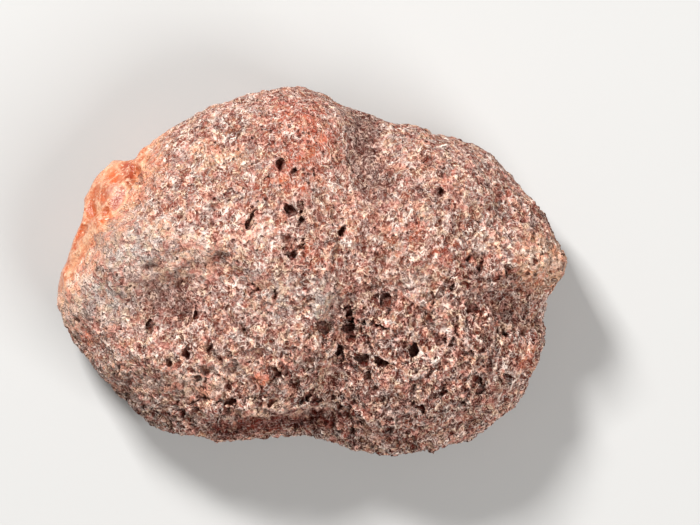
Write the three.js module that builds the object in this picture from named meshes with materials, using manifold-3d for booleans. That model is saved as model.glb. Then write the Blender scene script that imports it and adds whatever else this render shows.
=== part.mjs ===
// Half of a knobbly agate nodule, sawn flat and polished underneath and left in its rough, pitted skin above.
// Millimetres, +Z up. The origin is under the middle of the stone, on the sawn face that it rests on.

import * as THREE from "three";
import { ImprovedNoise } from "three/addons/math/ImprovedNoise.js";
import { mergeVertices } from "three/addons/utils/BufferGeometryUtils.js";
import Module from "manifold-3d";

// Driving dimensions: the finished stone fills this box.
const LENGTH = 55;
const WIDTH = 39.5;
const HEIGHT = 20;

// The nodule before sawing.
const RIM_HEIGHT = 5.5; // the widest section, above the sawn face
const DOME_RISE = 13.3; // plain dome above the widest section
const BELLY = 12; // how far the nodule once reached below its widest section
const SHOULDER = 2.5; // 2 is a round section, more is a squarer one
const SKIN_DETAIL = 16; // subdivisions of the starting icosahedron
const SIDEWAYS = 0.7; // the skin is lifted less sideways
const UPWARDS = 1.3; // than upwards
const RIM_BAND = [0.04, 0.32]; // rise, as a share of the dome, over which the rim's small knobs fade out
const SWELL_BAND = [0.05, 0.4]; // rise over which the swellings fade in
const RIM_LUMPINESS = 0.2; // lumpiness left at the rim
const AVERAGED_ANGLE = THREE.MathUtils.degToRad(14); // how far each way the rim is averaged above that band
const AVERAGED_STEPS = 8;
const RIM_STEPS = 16; // steps between two points of the rim

// The widest section seen from above, anticlockwise from the right end.
const RIM = [
  [27.5, 0.1], [27.4, 2.3], [26.4, 4.3], [25.4, 6.7], [23.1, 8.0], [22.5, 9.8], [20.9, 11.5], [18.9, 13.5],
  [16.6, 14.3], [14.6, 15.2], [11.7, 14.6], [9.8, 15.4], [8.6, 16.4], [4.8, 17.9], [2.7, 18.7], [0.9, 19.6],
  [-3.9, 19.7], [-6.9, 19.3], [-8.6, 18.6], [-10.6, 18.4], [-13.0, 17.0], [-15.8, 15.4], [-17.7, 13.9],
  [-19.2, 11.2], [-21.3, 12.6], [-23.1, 10.8], [-24.3, 8.7], [-24.7, 6.3], [-26.5, 2.0], [-27.5, -3.8],
  [-25.2, -8.0], [-22.7, -10.5], [-21.5, -12.7], [-16.7, -16.7], [-13.2, -17.6], [-9.4, -18.4],
  [-4.5, -17.6], [-1.3, -17.7],
  [2.4, -18.4], [5.2, -19.5], [11.4, -19.3], [13.8, -18.2], [16.1, -18.7], [18.1, -17.8], [19.6, -16.2],
  [22.0, -14.3], [23.6, -11.9], [24.5, -10.0], [25.5, -7.6], [25.8, -2.2],
];

// Swellings and hollows of the dome: middle, spread along X and Y, and how far they lift the skin.
const SWELLINGS = [
  { at: [-2.0, 15.0], spread: [4.5, 3.2], lift: 1.3 }, // red lobe at the back
  { at: [-7.5, 5.0], spread: [7.0, 5.5], lift: 1.4 }, // main mass
  { at: [13.8, 2.3], spread: [5.5, 6.5], lift: 1.5 }, // right lobe
  { at: [14.5, 11.5], spread: [4.5, 2.6], lift: 0.8 }, // shoulder behind the right lobe
  { at: [1.2, -3.5], spread: [1.9, 3.8], lift: 1.1 }, // pale ridge beside the trough
  { at: [-21.3, 0.9], spread: [3.0, 3.4], lift: 1.6 }, // grey lobe at the left end
  { at: [-12.6, 3.1], spread: [3.0, 1.1], lift: 1.2 }, // lip over the left hollow
  { at: [-15.0, -2.7], spread: [2.9, 1.8], lift: -2.5 }, // left hollow
  { at: [-9.8, -0.2], spread: [2.4, 1.5], lift: -1.2 }, // its shallow tail
  { at: [-15.0, -8.0], spread: [4.5, 2.6], lift: 1.0 }, // front left swelling
  { at: [-4.5, -7.5], spread: [4.0, 2.6], lift: 0.7 }, // front of the main mass
  { at: [24.6, 1.2], spread: [2.6, 2.3], lift: 2.2 }, // knob at the right end
  { at: [21.9, -3.4], spread: [3.0, 1.8], lift: -2.6 }, // hollow in front of the knob
  { at: [20.4, 6.2], spread: [1.6, 2.6], lift: -0.7 }, // dip behind the knob
  { at: [13.6, -11.0], spread: [4.4, 3.4], lift: 1.2 }, // front right swelling
  { at: [-2.6, -16.8], spread: [3.8, 1.0], lift: -2.2 }, // face under the front ledge
  { at: [-3.4, -14.6], spread: [4.4, 0.7], lift: 0.9 }, // lip of that ledge
];

// The trough that parts the left mass from the right lobe, back to front: x, y and depth.
const TROUGH = [
  [5.3, 17.2, 0.9], [5.3, 12.8, 1.6], [6.4, 6.0, 0.8], [5.8, 0.2, 1.4], [4.2, -5.8, 2.0],
  [3.2, -10.0, 1.9], [2.7, -13.9, 1.8], [2.5, -18.0, 0.6],
];
const TROUGH_HALF_WIDTH = 1.9;

// Lumpiness of the skin at three sizes, and how far each stands out where the skin is finest and coarsest.
const LUMPS = [
  { size: 7.5, fine: 0.9, coarse: 0.9 },
  { size: 3.8, fine: 0.5, coarse: 1.0 },
  { size: 2.2, fine: 0.1, coarse: 0.6 },
];

// The skin grows coarser from the back left to the front right: that way in plan, and half the distance that
// it takes.
const COARSER_WAY = [0.45, -0.9];
const COARSER_REACH = 11;

// Shell-like faces where pieces split away and bared the chalcedony: a place on each, the way it faces, and
// the radius of the shell.
const SPLITS = [
  { at: [-20.8, 7.9, 12.0], facing: [-0.38, 0.42, 0.82], radius: 8 }, // top of the knob, pink
  { at: [-23.0, 8.3, 8.9], facing: [-0.8, 0.35, 0.48], radius: 9 }, // its outer face, salmon
  { at: [-24.9, 3.0, 10.4], facing: [-0.78, 0.2, 0.6], radius: 16 }, // the side below the knob, orange
];
const SPLIT_DETAIL = 7;

// The notch between that knob and the stone: its middle in plan, half length, half width, turn and depth.
const NOTCH = [-19.1, 10.9, 3.0, 1.2, 122, 2.4];

// Open pits: x, y, half length, half width, turn from +X in degrees, and depth.
const PITS = [
  [-3.3, 11.6, 0.65, 0.55, 70, 0.9], [-1.8, 10.6, 0.45, 0.4, 60, 0.8], [-4.9, 10.0, 0.4, 0.35, 20, 0.7],
  [-2.3, 6.9, 0.9, 0.6, -40, 0.9], [-1.1, 7.5, 0.4, 0.35, 0, 0.7], [-1.1, 5.3, 0.7, 0.45, 80, 0.9],
  [-2.0, 2.9, 0.6, 0.35, 60, 1.1], [-1.1, 2.8, 0.55, 0.35, 75, 1.1], [-1.9, 1.8, 0.55, 0.35, 55, 1.1],
  [-0.9, 1.9, 0.5, 0.35, 70, 1.0], [-6.4, 5.7, 0.9, 0.3, 70, 0.6], [2.8, 6.1, 0.9, 0.35, -65, 0.9],
  [3.4, 4.5, 0.6, 0.3, -80, 0.7], [11.1, 8.3, 0.75, 0.45, -70, 0.9], [13.7, 8.7, 0.55, 0.45, 20, 0.8],
  [1.4, -6.0, 0.75, 0.5, 10, 0.9], [7.8, -2.9, 0.5, 0.35, 80, 0.7], [9.3, -3.7, 0.45, 0.35, 90, 0.6],
  [12.8, -2.8, 0.65, 0.45, 80, 0.7], [13.8, -7.2, 0.7, 0.35, -65, 0.8], [10.9, -8.3, 0.65, 0.4, 60, 0.8],
  [7.4, -9.6, 0.75, 0.4, 0, 0.8], [16.6, -8.6, 0.5, 0.35, 0, 0.7], [17.9, -12.2, 0.85, 0.35, -80, 0.9],
  [15.9, -15.2, 0.7, 0.4, 10, 0.8], [11.6, -15.2, 0.8, 0.4, 20, 0.8], [10.1, -15.9, 0.6, 0.4, 15, 0.7],
  [17.3, -16.0, 0.5, 0.4, 30, 0.6], [10.9, -16.8, 0.65, 0.45, 75, 0.7], [-3.9, -11.4, 1.2, 0.45, -80, 1.1],
  [-17.3, -5.6, 0.7, 0.3, -80, 0.8], [-12.2, -4.0, 0.6, 0.3, 85, 0.7], [-13.4, -8.8, 0.9, 0.4, 15, 0.8],
  [-15.1, -9.7, 0.6, 0.4, 30, 0.7], [-12.9, -10.6, 0.5, 0.4, 0, 0.7], [-13.9, 6.3, 0.6, 0.35, 80, 0.7],
  [-8.8, 8.6, 0.5, 0.4, 40, 0.7], [-10.5, 7.6, 0.6, 0.4, 10, 0.7], [3.3, -8.6, 0.65, 0.4, 40, 0.9],
  [5.5, -9.3, 0.6, 0.4, 10, 0.7], [-6.7, -2.1, 0.7, 0.35, 30, 0.7], [12.3, 12.4, 0.85, 0.3, -60, 0.8],
  [20.5, -6.0, 0.6, 0.35, -70, 0.7], [6.9, -12.4, 0.7, 0.4, 25, 0.8], [-8.9, -9.0, 0.6, 0.35, 60, 0.8],
];

// Open cracks: points along each, half width and depth.
const CRACKS = [
  // over the front ledge
  {
    route: [
      [-10.2, -14.0], [-8.6, -13.7], [-5.6, -14.2], [-2.9, -13.8], [0.0, -13.6], [2.8, -13.5], [4.3, -14.2],
    ],
    halfWidth: 0.4,
    depth: 1.0,
  },
  // along the floor of the trough
  { route: [[4.1, -3.4], [4.2, -5.2], [4.0, -7.4]], halfWidth: 0.35, depth: 0.9 },
];
const CRACK_STEP = 1.3;

// Small rounded nubs along the front right edge: x, y, z and radius.
const NUBS = [
  [4.8, -18.7, 5.2, 0.9], [6.6, -18.7, 3.6, 0.95], [8.2, -18.8, 5.4, 0.9], [10.0, -18.7, 3.8, 1.0],
  [11.8, -18.4, 5.4, 0.9], [13.9, -17.8, 4.2, 0.85], [16.2, -17.8, 4.8, 1.0], [18.0, -17.0, 5.4, 0.8],
  [23.2, -11.5, 5.6, 0.9], [7.2, -17.9, 8.6, 0.9], [10.8, -17.8, 8.8, 0.8],
];
const NUB_DETAIL = 1;

// Smaller pits strewn over the skin, thickest where it is coarse.
const STREWN = {
  seed: 7,
  tries: 150,
  leastLikely: 0.25, // share of the tries that leave a pit where the skin is finest
  climb: [-0.15, 1.2], // rise of the direction in which a pit is sought
  halfWidth: [0.35, 0.6],
  stretch: [1, 2], // length over width
  depth: 1.3, // over the half width
};

// A pit cutter is an egg with flat facets: its middle rides a little above the skin, and it is larger than
// the pit it stands for, because its facets lie inside the egg.
const CUTTER_RAISE = 0.15;
const CUTTER_SIZE = new THREE.Vector3(1.25, 1.25, 1.15);

const UP = new THREE.Vector3(0, 0, 1);
const DOWN = new THREE.Vector3(0, 0, -1);

const SAME_PLACE = 1e-4; // corners this close are one

const wasm = await Module();
wasm.setup();
const noise = new ImprovedNoise();

/** A closed three.js geometry as a solid. */
function solid(geometry) {
  const bare = geometry.clone();
  bare.deleteAttribute("normal");
  bare.deleteAttribute("uv");
  const merged = mergeVertices(bare, SAME_PLACE);
  return new wasm.Manifold(
    new wasm.Mesh({
      numProp: 3,
      vertProperties: merged.attributes.position.array,
      triVerts: new Uint32Array(merged.index.array),
    }),
  );
}

/** A solid as a three.js geometry. */
function geometryOf(body) {
  const mesh = body.getMesh();
  const geometry = new THREE.BufferGeometry();
  geometry.setAttribute("position", new THREE.BufferAttribute(mesh.vertProperties, 3));
  geometry.setIndex(new THREE.BufferAttribute(mesh.triVerts, 1));
  return geometry;
}

// The rim as [angle, reach] pairs in order of angle.
const rimTable = new THREE.CatmullRomCurve3(
  RIM.map(([x, y]) => new THREE.Vector3(x, y, 0)),
  true,
  "centripetal",
)
  .getPoints(RIM.length * RIM_STEPS)
  .map((p) => [Math.atan2(p.y, p.x), Math.hypot(p.x, p.y)])
  .sort((a, b) => a[0] - b[0]);

/** Distance from the middle to the rim in one direction. */
function rimReach(angle) {
  const wrapped = Math.atan2(Math.sin(angle), Math.cos(angle));
  const next = rimTable.findIndex(([a]) => a >= wrapped);
  if (next < 1) {
    return rimTable[0][1];
  }
  const [a0, r0] = rimTable[next - 1];
  const [a1, r1] = rimTable[next];
  return a1 > a0 ? THREE.MathUtils.mapLinear(wrapped, a0, a1, r0, r1) : r0;
}

/** The rim with its small knobs and notches averaged away, as the dome follows it. */
function broadReach(angle) {
  let sum = 0;
  for (let i = -AVERAGED_STEPS; i <= AVERAGED_STEPS; i++) {
    sum += rimReach(angle + (AVERAGED_ANGLE * i) / AVERAGED_STEPS);
  }
  return sum / (2 * AVERAGED_STEPS + 1);
}

/** Height of a bell curve at a distance of u, v spreads from its middle. */
function bell(u, v) {
  return Math.exp(-(u * u + v * v) / 2);
}

/** How deep the trough is at a place in plan. */
function troughDepth(x, y) {
  const here = new THREE.Vector3(x, y, 0);
  const near = new THREE.Vector3();
  let nearest = Infinity;
  let depth = 0;
  for (let i = 1; i < TROUGH.length; i++) {
    const [x0, y0, d0] = TROUGH[i - 1];
    const [x1, y1, d1] = TROUGH[i];
    const leg = new THREE.Line3(new THREE.Vector3(x0, y0, 0), new THREE.Vector3(x1, y1, 0));
    const along = leg.closestPointToPointParameter(here, true);
    const away = leg.at(along, near).distanceTo(here);
    if (away < nearest) {
      nearest = away;
      depth = THREE.MathUtils.lerp(d0, d1, along);
    }
  }
  return depth * bell(nearest / TROUGH_HALF_WIDTH, 0);
}

/** How far the skin stands out from the plain dome above a place in plan. */
function swell(x, y) {
  let lift = 0;
  for (const { at, spread, lift: height } of SWELLINGS) {
    lift += height * bell((x - at[0]) / spread[0], (y - at[1]) / spread[1]);
  }
  return lift - troughDepth(x, y);
}

/** How coarse the skin is at a place in plan, from 0 to 1. */
function coarseness(x, y) {
  const along = x * COARSER_WAY[0] + y * COARSER_WAY[1];
  return THREE.MathUtils.smoothstep(along, -COARSER_REACH, COARSER_REACH);
}

/** Lumps at several sizes, the same on every run. */
function lumpiness(p) {
  const coarse = coarseness(p.x, p.y);
  let sum = 0;
  for (const lump of LUMPS) {
    const height = THREE.MathUtils.lerp(lump.fine, lump.coarse, coarse);
    sum += height * noise.noise(p.x / lump.size + lump.size, p.y / lump.size, p.z / lump.size);
  }
  return sum;
}

/** The place on the nodule's skin in direction u from its middle. */
function skinPoint(u) {
  const side = Math.hypot(u.x, u.y);
  const fill = (side ** SHOULDER + Math.abs(u.z) ** SHOULDER) ** (-1 / SHOULDER);
  const angle = Math.atan2(u.y, u.x);
  const offRim = THREE.MathUtils.smoothstep(Math.abs(u.z), ...RIM_BAND);
  const reach = THREE.MathUtils.lerp(rimReach(angle), broadReach(angle), offRim) * side * fill;
  const tall = u.z > 0 ? DOME_RISE : BELLY;
  const p = new THREE.Vector3(
    reach * Math.cos(angle),
    reach * Math.sin(angle),
    RIM_HEIGHT + tall * u.z * fill,
  );
  const outward = new THREE.Vector3(u.x * SIDEWAYS, u.y * SIDEWAYS, u.z * UPWARDS).normalize();
  const onTop = THREE.MathUtils.smoothstep(u.z, ...SWELL_BAND);
  const relief = swell(p.x, p.y) * onTop + lumpiness(p) * THREE.MathUtils.lerp(RIM_LUMPINESS, 1, offRim);
  return p.addScaledVector(outward, relief);
}

/** The whole nodule as it was before sawing. */
function noduleGeometry() {
  const geometry = new THREE.IcosahedronGeometry(1, SKIN_DETAIL);
  const position = geometry.attributes.position;
  const u = new THREE.Vector3();
  for (let i = 0; i < position.count; i++) {
    const p = skinPoint(u.fromBufferAttribute(position, i).normalize());
    position.setXYZ(i, p.x, p.y, p.z);
  }
  return geometry;
}

const nodule = noduleGeometry();
const skin = new THREE.Mesh(nodule);

/** Where a ray from outside meets the skin, and the way the skin faces there. */
function meetSkin(from, towards) {
  const ray = new THREE.Raycaster(from, towards.clone().normalize());
  const [hit] = ray.intersectObject(skin, false);
  return { point: hit.point, normal: hit.face.normal.clone() };
}

/** The skin straight under a place in plan. */
function skinUnder(x, y) {
  return meetSkin(new THREE.Vector3(x, y, 2 * HEIGHT), DOWN);
}

const ROUND_EGG = new THREE.IcosahedronGeometry(1, 0);
const SHARP_EGG = new THREE.OctahedronGeometry(1, 0);

/** A pit cutter: an egg half sunk in the skin, its long way turned about the skin's normal. */
function pitCutter(egg, { point, normal }, halfLength, halfWidth, turn, depth) {
  const facing = new THREE.Quaternion().setFromUnitVectors(UP, normal);
  const turned = new THREE.Quaternion().setFromAxisAngle(UP, turn);
  const raised = point.clone().addScaledVector(normal, depth * CUTTER_RAISE);
  const size = new THREE.Vector3(halfLength, halfWidth, depth).multiply(CUTTER_SIZE);
  const lie = new THREE.Matrix4().compose(raised, facing.multiply(turned), size);
  return solid(egg.clone().applyMatrix4(lie));
}

/** A cutter for a pit given as x, y, half length, half width, turn in degrees and depth. */
function placedCutter(egg, [x, y, halfLength, halfWidth, turn, depth]) {
  return pitCutter(egg, skinUnder(x, y), halfLength, halfWidth, THREE.MathUtils.degToRad(turn), depth);
}

/** Cracks: overlapping slots in a row along each route. */
function cracks() {
  const cutters = [];
  for (const { route, halfWidth, depth } of CRACKS) {
    const curve = new THREE.CatmullRomCurve3(route.map(([x, y]) => new THREE.Vector3(x, y, 0)));
    const slots = Math.ceil(curve.getLength() / CRACK_STEP);
    for (let i = 0; i <= slots; i++) {
      const place = curve.getPointAt(i / slots);
      const way = curve.getTangentAt(i / slots);
      const turn = Math.atan2(way.y, way.x);
      cutters.push(pitCutter(SHARP_EGG, skinUnder(place.x, place.y), CRACK_STEP, halfWidth, turn, depth));
    }
  }
  return cutters;
}

/** Smaller pits strewn over the skin, down to the sawn edge. */
function strewnPits() {
  const random = THREE.MathUtils.seededRandom;
  random(STREWN.seed);
  const between = ([least, most]) => THREE.MathUtils.lerp(least, most, random());
  const cutters = [];
  for (let i = 0; i < STREWN.tries; i++) {
    const angle = 2 * Math.PI * random();
    const out = new THREE.Vector3(Math.cos(angle), Math.sin(angle), between(STREWN.climb));
    const start = out.clone().multiplyScalar(LENGTH);
    start.z += RIM_HEIGHT;
    const place = meetSkin(start, out.negate());
    const halfWidth = between(STREWN.halfWidth);
    const halfLength = halfWidth * between(STREWN.stretch);
    const turn = Math.PI * random();
    const likely = THREE.MathUtils.lerp(STREWN.leastLikely, 1, coarseness(place.point.x, place.point.y));
    if (random() < likely) {
      cutters.push(pitCutter(SHARP_EGG, place, halfLength, halfWidth, turn, STREWN.depth * halfWidth));
    }
  }
  return cutters;
}

/** The balls that leave the faces of the split-off pieces. */
function splits() {
  return SPLITS.map(({ at, facing, radius }) => {
    const middle = new THREE.Vector3(...facing).setLength(radius).add(new THREE.Vector3(...at));
    return solid(new THREE.IcosahedronGeometry(radius, SPLIT_DETAIL).translate(...middle));
  });
}

/** The nubs on the front right edge. */
function nubs() {
  return NUBS.map(([x, y, z, radius]) => {
    const ball = new THREE.IcosahedronGeometry(radius, NUB_DETAIL);
    return solid(ball.translate(x, y, z));
  });
}

/** All of the nodule that the saw threw away. */
function sawnOff() {
  return solid(new THREE.BoxGeometry(2 * LENGTH, 2 * WIDTH, 2 * BELLY).translate(0, 0, -BELLY));
}

/** The stone: nubs on, everything else off, then fitted to its driving dimensions. */
function agateGeometry() {
  let stone = solid(nodule);
  for (const nub of nubs()) {
    stone = stone.add(nub);
  }
  const pits = PITS.map((pit) => placedCutter(ROUND_EGG, pit));
  const notch = placedCutter(SHARP_EGG, NOTCH);
  for (const cutter of [...splits(), notch, ...pits, ...cracks(), ...strewnPits(), sawnOff()]) {
    stone = stone.subtract(cutter);
  }
  const geometry = geometryOf(stone);
  geometry.computeBoundingBox();
  const size = geometry.boundingBox.getSize(new THREE.Vector3());
  const middle = geometry.boundingBox.getCenter(new THREE.Vector3());
  geometry.translate(-middle.x, -middle.y, 0);
  geometry.scale(LENGTH / size.x, WIDTH / size.y, HEIGHT / size.z);
  geometry.computeVertexNormals();
  return geometry;
}

const agate = new THREE.Mesh(
  agateGeometry(),
  new THREE.MeshStandardMaterial({ color: 0x96705f, roughness: 0.7, metalness: 0 }),
);
agate.name = "agate";
const group = new THREE.Group();
group.add(agate);

export default group;
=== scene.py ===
"""Looks for half of an agate nodule.

It has a weathered, pitted rind above, chalcedony bared along one edge, and a sawn, polished face underneath.
Metres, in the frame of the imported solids. Strokes, chips and patterns are in millimetres.
"""

import bmesh
import bpy
import mathutils
import numpy as np
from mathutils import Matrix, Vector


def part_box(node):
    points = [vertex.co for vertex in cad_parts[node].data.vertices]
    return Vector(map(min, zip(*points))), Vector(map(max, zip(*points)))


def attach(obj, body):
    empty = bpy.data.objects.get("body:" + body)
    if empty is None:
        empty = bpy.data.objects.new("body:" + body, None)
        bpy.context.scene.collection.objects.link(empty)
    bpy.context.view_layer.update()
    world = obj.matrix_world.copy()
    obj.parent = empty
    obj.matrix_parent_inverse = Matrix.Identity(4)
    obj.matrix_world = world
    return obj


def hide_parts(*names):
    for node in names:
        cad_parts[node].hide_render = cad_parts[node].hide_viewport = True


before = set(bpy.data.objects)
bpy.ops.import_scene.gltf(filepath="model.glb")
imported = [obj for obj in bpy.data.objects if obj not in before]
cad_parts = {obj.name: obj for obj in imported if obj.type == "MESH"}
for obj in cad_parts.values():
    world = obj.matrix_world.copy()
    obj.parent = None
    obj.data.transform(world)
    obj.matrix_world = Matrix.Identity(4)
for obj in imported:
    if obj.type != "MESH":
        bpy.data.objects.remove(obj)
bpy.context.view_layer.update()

low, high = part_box("agate")

MM = 0.001
GRID = 0.18 * MM  # spacing of the fine mesh that carries the relief
CRISP_ROUNDS = 1  # of smoothing, which take the steps of that grid off
SOFT_ROUNDS = 7  # of smoothing on top, which take the facets of the solid off the rind
MOST_TRIANGLES = 186000  # in the skin, without the sawn face
FACE_GRID = 1.2 * MM  # spacing of the points inside the sawn face
RIM_GAP = 0.6 * FACE_GRID  # how far those points stay from the rim of the face
WELD = 0.001 * MM  # corners of the solid's facets closer than this are one corner
SAW_CUT = 0.04 * MM  # what lies lower than this belongs to the sawn face

# The broken edge of the rind, seen from above, back to front: the chalcedony is bared on its outer side.
RIND_EDGE = [
    (-16.6, 15.2), (-17.4, 13.4), (-17.5, 12.2), (-17.9, 10.7), (-18.8, 9.5),
    (-19.2, 8.6), (-19.7, 7.5), (-20.6, 6.3), (-21.5, 5.4), (-22.6, 4.1),
    (-23.7, 2.2), (-24.9, 0.2), (-25.6, -1.0), (-26.9, -2.4), (-28.6, -3.6),
]
FOOT = 2.4  # height of the rind that is left along the bottom of the bared side
BARING = (-1.4, 0.2)  # how far past the edge the relief starts and ends its change from rind to chalcedony

# The rind grows coarser from the back left to the front right.
COARSER_WAY = (0.35, -0.9)  # that way in plan
COARSER_SPAN = (-9, 14)  # where along it the rind is finest and coarsest
FINEST = 0.25  # how coarse it is where it is finest, against 1 where it is coarsest

# How the outlines of strokes wander: how far, and the length of the waves.
STAIN_SWAY = (0.35, 4.5)
SLIT_SWAY = (0.07, 1.1)
SOFT_END, SHARP_END = 2, 5  # how sharply a stroke ends beyond its half width
CLEAN_SIDES = (2.0, 8.0)  # stains fade in between these heights

# Crests and pits are told apart by how far the skin stands from itself after so many rounds of smoothing.
RELIEF_ROUNDS = {"fine_relief": 6, "broad_relief": 60}

# Stains in the rind, and painted shade in its hollows, as strokes in plan: points, half width and strength.
STAINS = {
    "rust": [
        ([(-2.4, 16.8), (-0.4, 15.2), (0.2, 13.2), (-2.0, 11.4)], 2.0, 0.9),
        ([(-3.2, 10.0), (-5.6, 9.4)], 1.0, 0.5),
        ([(-4.8, 8.8)], 1.0, 0.5),
        ([(14.0, 1.8), (15.6, 0.4)], 1.0, 0.5),
        ([(-24.4, -6.2), (-24.0, -7.0)], 0.4, 1.2),
        ([(-23.2, -7.7)], 0.35, 1.2),
    ],
    "coral": [
        ([(-17.9, 12.0)], 0.8, 0.9),
        ([(-5.6, -10.8), (-5.2, -11.6)], 0.6, 1.1),
        ([(-14.8, -10.9), (-14.6, -11.6)], 0.6, 1.0),
        ([(-12.6, -13.0), (-10.4, -13.1)], 0.4, 0.9),
        ([(10.8, 4.2)], 0.6, 0.7),
        ([(23.2, -9.2), (23.0, -10.0)], 0.6, 1.0),
        ([(-0.4, 15.2), (0.4, 13.6), (-0.6, 11.8)], 0.5, 0.8),
        ([(-24.2, -6.4), (-23.6, -7.2)], 0.4, 1.3),
        ([(-3.4, 9.4), (-0.4, 8.9)], 0.35, 0.8),
        ([(-0.6, 2.2), (0.6, 1.4)], 0.6, 0.6),
    ],
    "ochre": [
        ([(23.6, 1.8), (26.2, 1.4), (26.4, -0.4), (23.6, -0.2)], 1.3, 1.1),
        ([(-11.6, 12.6), (-9.6, 12.4), (-7.4, 11.6)], 0.8, 0.8),
        ([(-26.9, -1.8), (-27.2, -4.2), (-26.4, -6.0)], 0.5, 0.9),
        ([(8.2, 3.2), (8.6, 1.6)], 0.9, 0.5),
        ([(-16.8, 4.9), (-15.4, 4.6)], 0.6, 0.9),
        ([(-18.2, 11.4), (-18.4, 9.8)], 0.6, 0.9),
    ],
    "cream_and_highlights": [
        ([(-15.2, 4.2), (-13.2, 3.2), (-10.4, 2.4)], 0.5, 1.0),
        # Painted highlights: a pale line down a crest and another along the lip of the ledge, where they catch
        # the light.
        ([(0.3, -7.4), (-1.8, -9.6), (-4.0, -14.2)], 0.4, 0.5),
        ([(-8.6, -15.4), (-4.6, -15.0), (-0.6, -14.7), (1.8, -14.6)], 0.35, 0.9),
        ([(12.2, -3.6), (13.6, -5.0), (14.6, -4.6), (14.2, -1.8), (12.2, -2.0)], 0.15, 0.8),
        ([(-6.6, 4.6), (-5.6, 3.8)], 0.7, 0.8),
        ([(-26.6, -1.6), (-26.8, -3.0), (-26.4, -4.8)], 1.3, 1.6),
        ([(-13.6, -11.7), (-10.8, -12.1)], 0.9, 1.5),
        ([(23.2, 1.8), (25.8, 1.0)], 0.9, 0.8),
        ([(-26.0, -0.6), (-26.6, -2.2)], 0.5, 0.9),
        ([(11.8, 6.4)], 0.8, 0.5),
        ([(18.5, 3.0)], 0.8, 0.5),
        ([(-18.6, -0.8), (-16.0, -0.4), (-13.6, 0.8), (-11.6, 1.6)], 1.2, 0.5),
        ([(9.6, -0.8), (12.2, -1.2), (12.4, -3.4)], 1.2, 0.4),
        ([(-20.6, -10.2), (-17.6, -12.4), (-13.4, -12.6), (-9.6, -10.4), (-6.0, -10.2)], 1.3, 0.4),
    ],
    "slate": [
        ([(-5.6, -0.8), (-3.2, -1.4), (-3.8, -4.2), (-5.8, -4.4)], 1.2, 0.45),
        ([(-21.0, 2.8), (-18.6, 2.2)], 2.2, 1.0),
        ([(1.4, -2.0), (1.4, -4.4)], 0.8, 1.3),
        ([(-23.6, -2.2), (-21.0, -3.6)], 1.8, 0.9),
    ],
    # Not a stain: painted shade, darker in the hollows, down the trough and under the knob.
    "hollow_shade": [
        ([(5.2, 15.4), (5.4, 11.8), (6.6, 9.6)], 1.4, 1.1),
        ([(3.8, 1.4), (4.6, -4.4), (3.4, -9.4), (3.0, -13.6)], 1.0, 0.35),
        ([(-16.6, -2.4), (-14.2, -3.2)], 1.5, 1.1),
        ([(17.0, -0.6), (18.4, -2.2)], 1.1, 0.5),
        ([(20.6, -3.4), (22.0, -4.8)], 1.0, 0.5),
        ([(0.2, 11.4), (-0.6, 8.0), (0.2, 4.6)], 1.3, 0.45),
        ([(6.2, 4.8), (6.6, 1.6), (6.2, -1.4)], 1.3, 0.45),
        ([(12.0, 8.2), (15.0, 7.4), (15.2, 5.0)], 1.2, 0.35),
        ([(2.6, -13.0), (6.0, -13.2), (9.6, -13.4), (9.6, -15.6)], 1.1, 0.5),
    ],
    "liver": [
        ([(-9.6, -17.2), (-6.1, -16.5), (-2.9, -16.1), (-0.2, -15.8), (2.2, -15.8)], 0.8, 1.0),
        ([(-15.6, -14.8), (-12.4, -16.2), (-9.6, -17.2)], 0.7, 0.4),
        ([(2.2, -15.8), (5.6, -17.0), (9.4, -18.2)], 0.7, 0.4),
    ],
}
LAYERED = [
    ([(-9.6, -17.2), (-6.1, -16.5), (-2.9, -16.1), (-0.2, -15.8), (2.2, -15.8)], 0.9, 1.0),
    ([(22.4, 1.0), (26.4, 0.4)], 1.6, 0.9),
]
# The tone of each stain and of the painted shade, and how much of it shows over the crust.
STAIN_TONES = {
    "rust": ("#c26e58", 0.25),
    "coral": ("#d07a58", 0.45),
    "ochre": ("#e6bd9c", 0.3),
    # cream, and painted highlights along a crest and the lip of the ledge
    "cream_and_highlights": ("#fbe2d2", 0.55),
    "slate": ("#c4bdb7", 0.5),
    # painted shade in the hollows, not a stain
    "hollow_shade": ("#83665e", 0.15),
    "liver": ("#6e2617", 0.35),
}

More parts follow.
